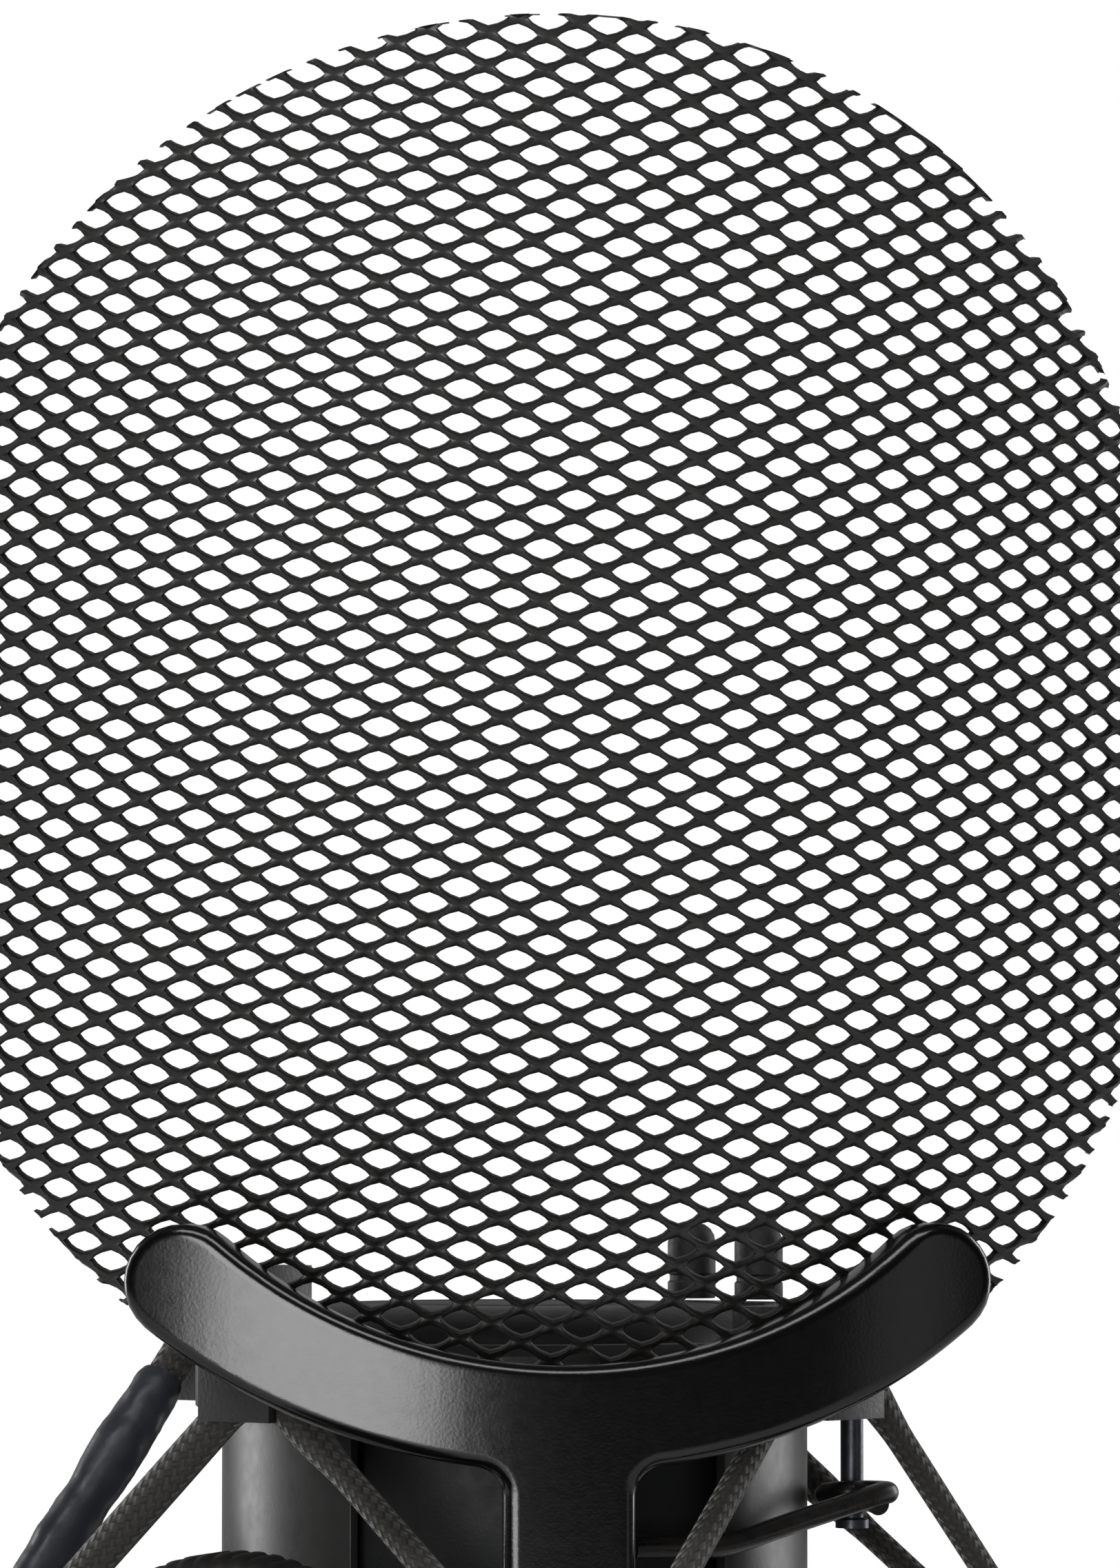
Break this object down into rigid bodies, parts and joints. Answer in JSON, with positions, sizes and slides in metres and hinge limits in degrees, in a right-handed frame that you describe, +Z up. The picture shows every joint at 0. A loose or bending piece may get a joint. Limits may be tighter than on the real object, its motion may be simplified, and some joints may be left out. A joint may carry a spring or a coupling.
{
  "type": "condenser microphone",
  "caption": "Side-address condenser microphone in an elastic-cord shock mount, with a curved metal pop shield on a crescent cradle and a tilting stand socket.",
  "frame": {"origin": "the middle of the stand socket's mouth, on the socket's axis", "axes": "+Z up along the socket and the microphone; the pop shield faces -Y; +X is on the right seen from the front"},
  "size_m": [0.134, 0.1766, 0.2433],
  "materials": {
    "screen_black": "satin black powder coat on expanded metal",
    "cradle_plastic": "satin charcoal moulding",
    "coated_black": "black satin coating",
    "basket_grey": "satin grey metallic",
    "body_black": "satin black lacquer",
    "grille_steel": "dark woven wire",
    "steel": "dark zinc",
    "wire_black": "black-oxide spring wire",
    "brass": "plain brass",
    "gold_film": "gold-sputtered film",
    "rubber": "matt black",
    "sleeve": "blue-grey shrink sleeve",
    "braid": "braided elastic",
    "board_green": "solder-masked board",
    "knob_brown": "brown-black moulding",
    "dark_plastic": "black moulding"
  },
  "bodies": {
    "stand": {"swivel_block": "coated_black", "thread_insert": "brass"},
    "ring": {"outer_ring": "coated_black", "shield_bracket": "coated_black", "swivel_fork": "coated_black", "fork_screw_lower": "steel", "fork_screw_upper": "steel", "swivel_bolt": "steel", "friction_washer_left": "dark_plastic", "friction_washer_right": "dark_plastic", "upper_cord": "braid", "lower_cord": "braid", "splice_sleeve": "sleeve"},
    "swivel_knob": {"swivel_knob": "knob_brown"},
    "shield_knob": {"shield_knob": "knob_brown", "shield_knob_screw": "steel"},
    "stem_lock": {"stem_lock_screw": "steel"},
    "pop_shield": {"pop_screen": "screen_black", "cradle_front": "cradle_plastic", "cradle_back": "cradle_plastic", "cradle_screw_1": "steel", "cradle_screw_2": "steel", "cradle_screw_3": "steel"},
    "basket": {"basket_shell": "basket_grey", "top_collar": "coated_black", "bottom_collar": "coated_black", "basket_pad_left": "rubber", "basket_pad_right": "rubber", "basket_pad_rear": "rubber", "clamp_post_right": "steel", "clamp_post_rear": "steel", "cord_end_left": "rubber", "cord_end_right": "rubber"},
    "clamp_right": {"clamp_wire_right": "wire_black"},
    "clamp_rear": {"clamp_wire_rear": "wire_black"},
    "microphone": {"body_tube": "body_black", "top_cap": "body_black", "front_grille": "grille_steel", "rear_grille": "grille_steel", "base_ring": "body_black", "capsule_ring": "brass", "backplate": "brass", "front_diaphragm": "gold_film", "rear_diaphragm": "gold_film", "capsule_saddle": "rubber", "chassis_deck": "steel", "chassis_rail_left": "steel", "chassis_rail_right": "steel", "circuit_board": "board_green", "output_transformer": "dark_plastic", "input_transistor": "steel", "coupling_capacitor": "dark_plastic", "switch_housing": "dark_plastic", "xlr_shell": "steel", "xlr_insert": "dark_plastic", "xlr_pin_1": "brass", "xlr_pin_2": "brass", "xlr_pin_3": "brass"},
    "pad_switch": {"pad_switch": "dark_plastic"},
    "low_cut_switch": {"low_cut_switch": "dark_plastic"}
  },
  "joints": [
    {"name": "mount_tilt", "type": "hinge", "parent": "stand", "child": "ring", "pos_m": [0, 0, 0.05], "axis": [1, 0, 0], "range_deg": [-90, 25]},
    {"name": "swivel_knob_turn", "type": "hinge", "parent": "ring", "child": "swivel_knob", "pos_m": [0.016, 0, 0.05], "axis": [1, 0, 0], "range_deg": [0, 450]},
    {"name": "shield_knob_turn", "type": "hinge", "parent": "ring", "child": "shield_knob", "pos_m": [-0.02896, -0.14904, 0.0523], "axis": [-0.4067, -0.9135, 0], "range_deg": [0, 450]},
    {"name": "stem_lock_turn", "type": "hinge", "parent": "ring", "child": "stem_lock", "pos_m": [0, -0.144, 0.031], "axis": [0, -1, 0], "range_deg": [0, 450]},
    {"name": "shield_slide", "type": "slide", "parent": "ring", "child": "pop_shield", "axis": [0, 0, 1], "range_m": [-0.003, 0.035]},
    {"name": "basket_float", "type": "slide", "parent": "ring", "child": "basket", "axis": [0, 0, 1], "range_m": [-0.004, 0.004], "stiffness_N_per_m": 4000, "springref_m": 0.00194, "deforming": ["upper_cord", "lower_cord", "splice_sleeve"]},
    {"name": "clamp_right_open", "type": "hinge", "parent": "basket", "child": "clamp_right", "pos_m": [0.03189, -0.08848, 0.07], "axis": [0, 0, 1], "range_deg": [0, 6], "stiffness_Nm_per_rad": 0.15},
    {"name": "clamp_rear_open", "type": "hinge", "parent": "basket", "child": "clamp_rear", "pos_m": [-0.01206, -0.05414, 0.07], "axis": [0, 0, 1], "range_deg": [0, 6], "stiffness_Nm_per_rad": 0.15},
    {"name": "microphone_slide", "type": "slide", "parent": "basket", "child": "microphone", "axis": [0, 0, 1], "range_m": [0, 0.13]},
    {"name": "pad_switch_slide", "type": "slide", "parent": "microphone", "child": "pad_switch", "axis": [0, 0, 1], "range_m": [0, 0.0025]},
    {"name": "low_cut_slide", "type": "slide", "parent": "microphone", "child": "low_cut_switch", "axis": [0, 0, 1], "range_m": [0, 0.0025]}
  ]
}
